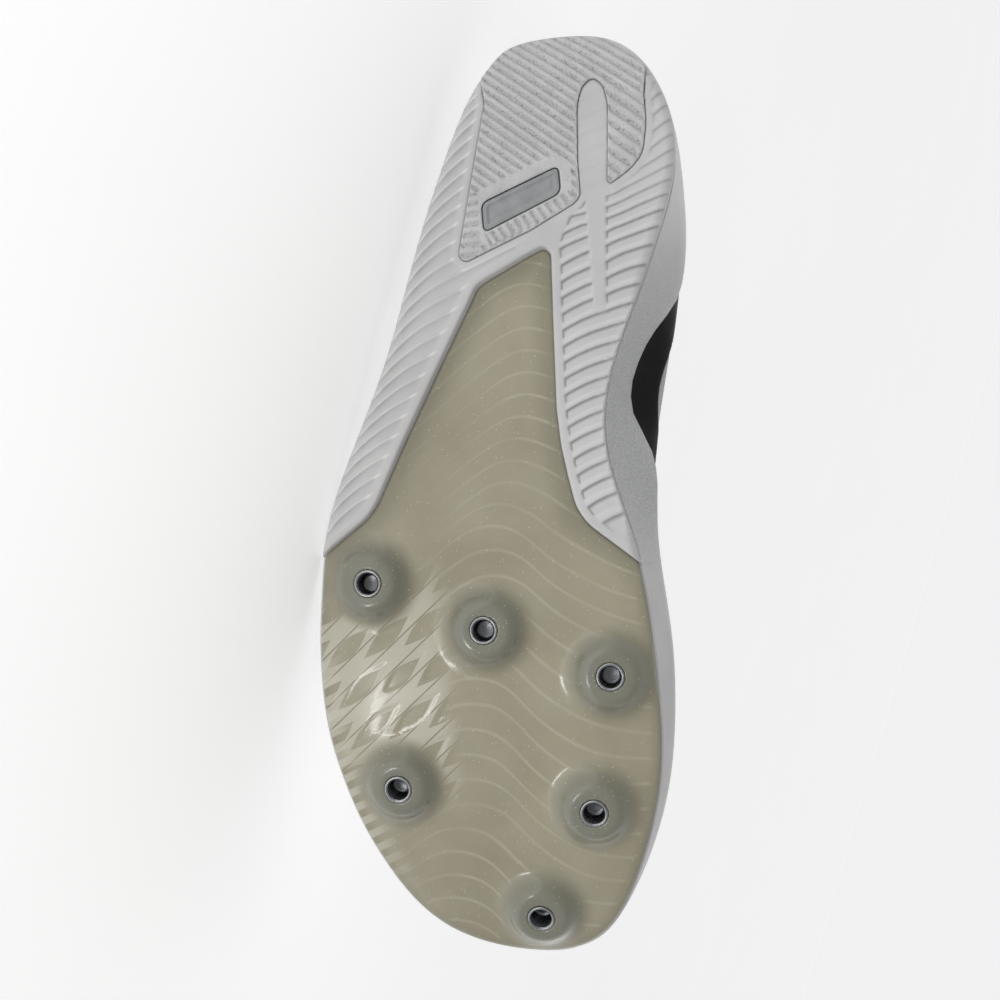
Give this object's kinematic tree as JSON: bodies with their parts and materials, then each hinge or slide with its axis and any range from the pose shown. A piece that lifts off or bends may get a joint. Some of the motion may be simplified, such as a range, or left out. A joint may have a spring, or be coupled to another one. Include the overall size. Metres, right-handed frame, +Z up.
{
  "type": "track spike shoe",
  "caption": "Left track spike shoe lying on its side: hollow laced upper with tongue and insole, foam midsole, stiff forefoot plate with screw-in spike wells, ribbed rubber heel.",
  "frame": {"origin": "on the floor that the shoe lies on, under the centre of its bounding box", "axes": "+X towards the toe along the lateral edge of the sole, +Z up from the floor; the sole faces -Y and slightly up, the laces and the collar face +Y"},
  "size_m": [0.2762, 0.1116, 0.1154],
  "materials": {
    "upper": "matte",
    "midsole": "matte",
    "plate": "gloss",
    "steel": "satin",
    "heel_rubber": "matte",
    "plaque": "satin",
    "insole": "matte",
    "tongue": "matte",
    "laces": "matte"
  },
  "bodies": {
    "root": {"upper": "upper", "midsole": "midsole", "spike_plate": "plate", "spike_insert_1": "steel", "spike_insert_2": "steel", "spike_insert_3": "steel", "spike_insert_4": "steel", "spike_insert_5": "steel", "spike_insert_6": "steel", "heel_rubber": "heel_rubber", "heel_plaque": "plaque", "insole": "insole", "tongue": "tongue", "laces": "laces"}
  },
  "joints": []
}
